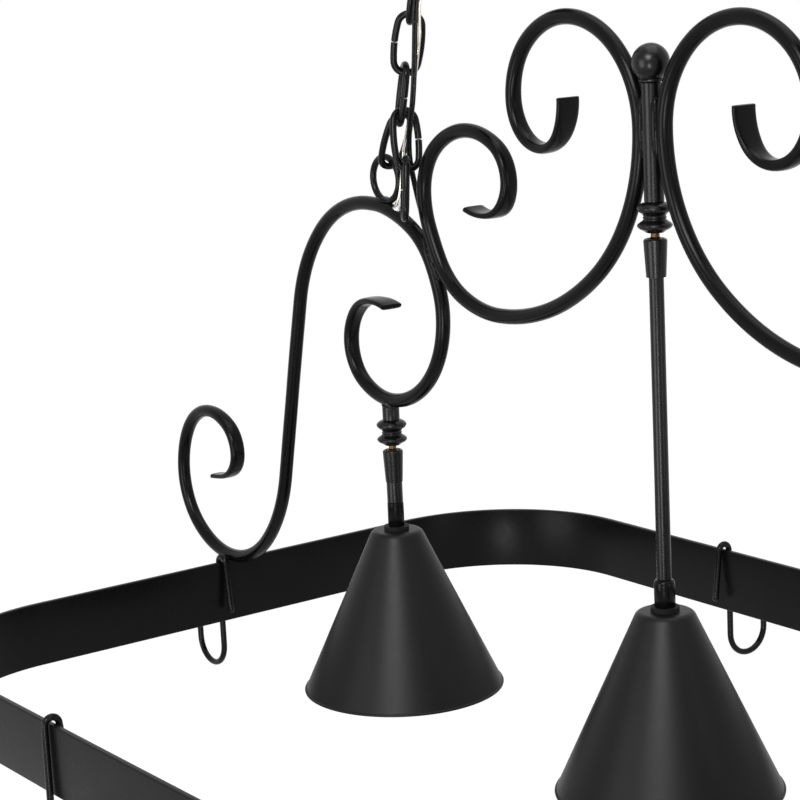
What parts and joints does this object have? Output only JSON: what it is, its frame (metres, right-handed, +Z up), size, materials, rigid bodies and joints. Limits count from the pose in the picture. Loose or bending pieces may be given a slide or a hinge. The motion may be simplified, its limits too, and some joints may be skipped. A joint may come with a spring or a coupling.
{
  "type": "hanging pot rack",
  "caption": "Hanging kitchen pot rack with lamps: a flat steel rim under a panel of forged scrolls, hung on chains, with sliding pan hooks and cone-shaded swivel downlights.",
  "frame": {"origin": "in the ceiling plane, at the centre of the four mounting screws, midway between the two canopies", "axes": "+X along the rack, away from the canopy that the mains lead comes out of; +Z up; -Y towards the side that the picture was taken from"},
  "size_m": [1.2334, 0.7088, 0.6664],
  "materials": {
    "black_paint": "satin black powder coat over steel, slightly worn on the edges",
    "brass": "turned brass, unlacquered",
    "black_rubber": "moulded black rubber",
    "lead_jacket": "black cable jacket, slightly glossy",
    "tinned_copper": "bare tinned copper strand in a clear sleeve",
    "zinc_plate": "bright zinc plating",
    "porcelain": "glazed cream porcelain"
  },
  "bodies": {
    "ceiling": {"canopy_left": "black_paint", "canopy_right": "black_paint", "mounting_bar_left": "zinc_plate", "mounting_bar_right": "zinc_plate", "ceiling_loop_left": "black_paint", "ceiling_loop_right": "black_paint", "canopy_bushing": "black_rubber", "lead_top": "lead_jacket", "earth_top": "tinned_copper"},
    "chains": {"chain_left": "black_paint", "chain_right": "black_paint", "lead_chain": "lead_jacket", "earth_chain": "tinned_copper"},
    "rack": {"rim_band": "black_paint", "end_scroll_left": "black_paint", "end_scroll_right": "black_paint", "inner_scroll_left": "black_paint", "inner_scroll_right": "black_paint", "centre_post": "black_paint", "ball_finial": "black_paint", "hanging_ring_left": "black_paint", "hanging_ring_right": "black_paint", "collar_left": "black_paint", "collar_centre": "black_paint", "collar_right": "black_paint", "swivel_stud_left": "brass", "swivel_stud_centre": "brass", "swivel_stud_right": "brass", "lead_rack": "lead_jacket", "scroll_bushing": "black_rubber", "earth_rack": "tinned_copper", "earth_screw": "zinc_plate"},
    "swivel_left": {"swivel_cup_left": "brass"},
    "lamp_left": {"sleeve_left": "black_paint", "stem_left": "black_paint", "shade_cup_left": "black_paint", "washer_left": "black_rubber", "shade_left": "black_paint", "lampholder_left": "porcelain"},
    "swivel_centre": {"swivel_cup_centre": "brass"},
    "lamp_centre": {"sleeve_centre": "black_paint", "stem_centre": "black_paint", "shade_cup_centre": "black_paint", "washer_centre": "black_rubber", "shade_centre": "black_paint", "lampholder_centre": "porcelain"},
    "swivel_right": {"swivel_cup_right": "brass"},
    "lamp_right": {"sleeve_right": "black_paint", "stem_right": "black_paint", "shade_cup_right": "black_paint", "washer_right": "black_rubber", "shade_right": "black_paint", "lampholder_right": "porcelain"},
    "hook_end_left": {"hook_end_left": "black_paint"},
    "hook_end_right": {"hook_end_right": "black_paint"},
    "hook_front_left": {"hook_front_left": "black_paint"},
    "hook_front_right": {"hook_front_right": "black_paint"},
    "hook_back_left": {"hook_back_left": "black_paint"},
    "hook_back_right": {"hook_back_right": "black_paint"}
  },
  "joints": [
    {"name": "rack_swing", "type": "hinge", "parent": "ceiling", "child": "chains", "pos_m": [0, 0, -0.05149], "axis": [1, 0, 0], "range_deg": [-12, 12]},
    {"name": "rack_tilt", "type": "hinge", "parent": "chains", "child": "rack", "pos_m": [0, 0, -0.2181], "axis": [1, 0, 0], "range_deg": [-12, 12]},
    {"name": "lamp_left_swing_front_back", "type": "hinge", "parent": "rack", "child": "swivel_left", "pos_m": [-0.298, 0, -0.4423], "axis": [1, 0, 0], "range_deg": [-18, 18]},
    {"name": "lamp_left_swing_sideways", "type": "hinge", "parent": "swivel_left", "child": "lamp_left", "pos_m": [-0.298, 0, -0.4423], "axis": [0, 1, 0], "range_deg": [-18, 18]},
    {"name": "lamp_centre_swing_front_back", "type": "hinge", "parent": "rack", "child": "swivel_centre", "pos_m": [0, 0, -0.26115], "axis": [1, 0, 0], "range_deg": [-18, 18]},
    {"name": "lamp_centre_swing_sideways", "type": "hinge", "parent": "swivel_centre", "child": "lamp_centre", "pos_m": [0, 0, -0.26115], "axis": [0, 1, 0], "range_deg": [-18, 18]},
    {"name": "lamp_right_swing_front_back", "type": "hinge", "parent": "rack", "child": "swivel_right", "pos_m": [0.298, 0, -0.4423], "axis": [1, 0, 0], "range_deg": [-18, 18]},
    {"name": "lamp_right_swing_sideways", "type": "hinge", "parent": "swivel_right", "child": "lamp_right", "pos_m": [0.298, 0, -0.4423], "axis": [0, 1, 0], "range_deg": [-18, 18]},
    {"name": "hook_end_left_slide", "type": "slide", "parent": "rack", "child": "hook_end_left", "axis": [0, -1, 0], "range_m": [0, 0.15]},
    {"name": "hook_end_right_slide", "type": "slide", "parent": "rack", "child": "hook_end_right", "axis": [0, -1, 0], "range_m": [0, 0.15]},
    {"name": "hook_front_left_slide", "type": "slide", "parent": "rack", "child": "hook_front_left", "axis": [1, 0, 0], "range_m": [-0.13, 0.2]},
    {"name": "hook_front_right_slide", "type": "slide", "parent": "rack", "child": "hook_front_right", "axis": [-1, 0, 0], "range_m": [-0.13, 0.2]},
    {"name": "hook_back_left_slide", "type": "slide", "parent": "rack", "child": "hook_back_left", "axis": [1, 0, 0], "range_m": [-0.13, 0.2]},
    {"name": "hook_back_right_slide", "type": "slide", "parent": "rack", "child": "hook_back_right", "axis": [-1, 0, 0], "range_m": [-0.13, 0.2]}
  ]
}
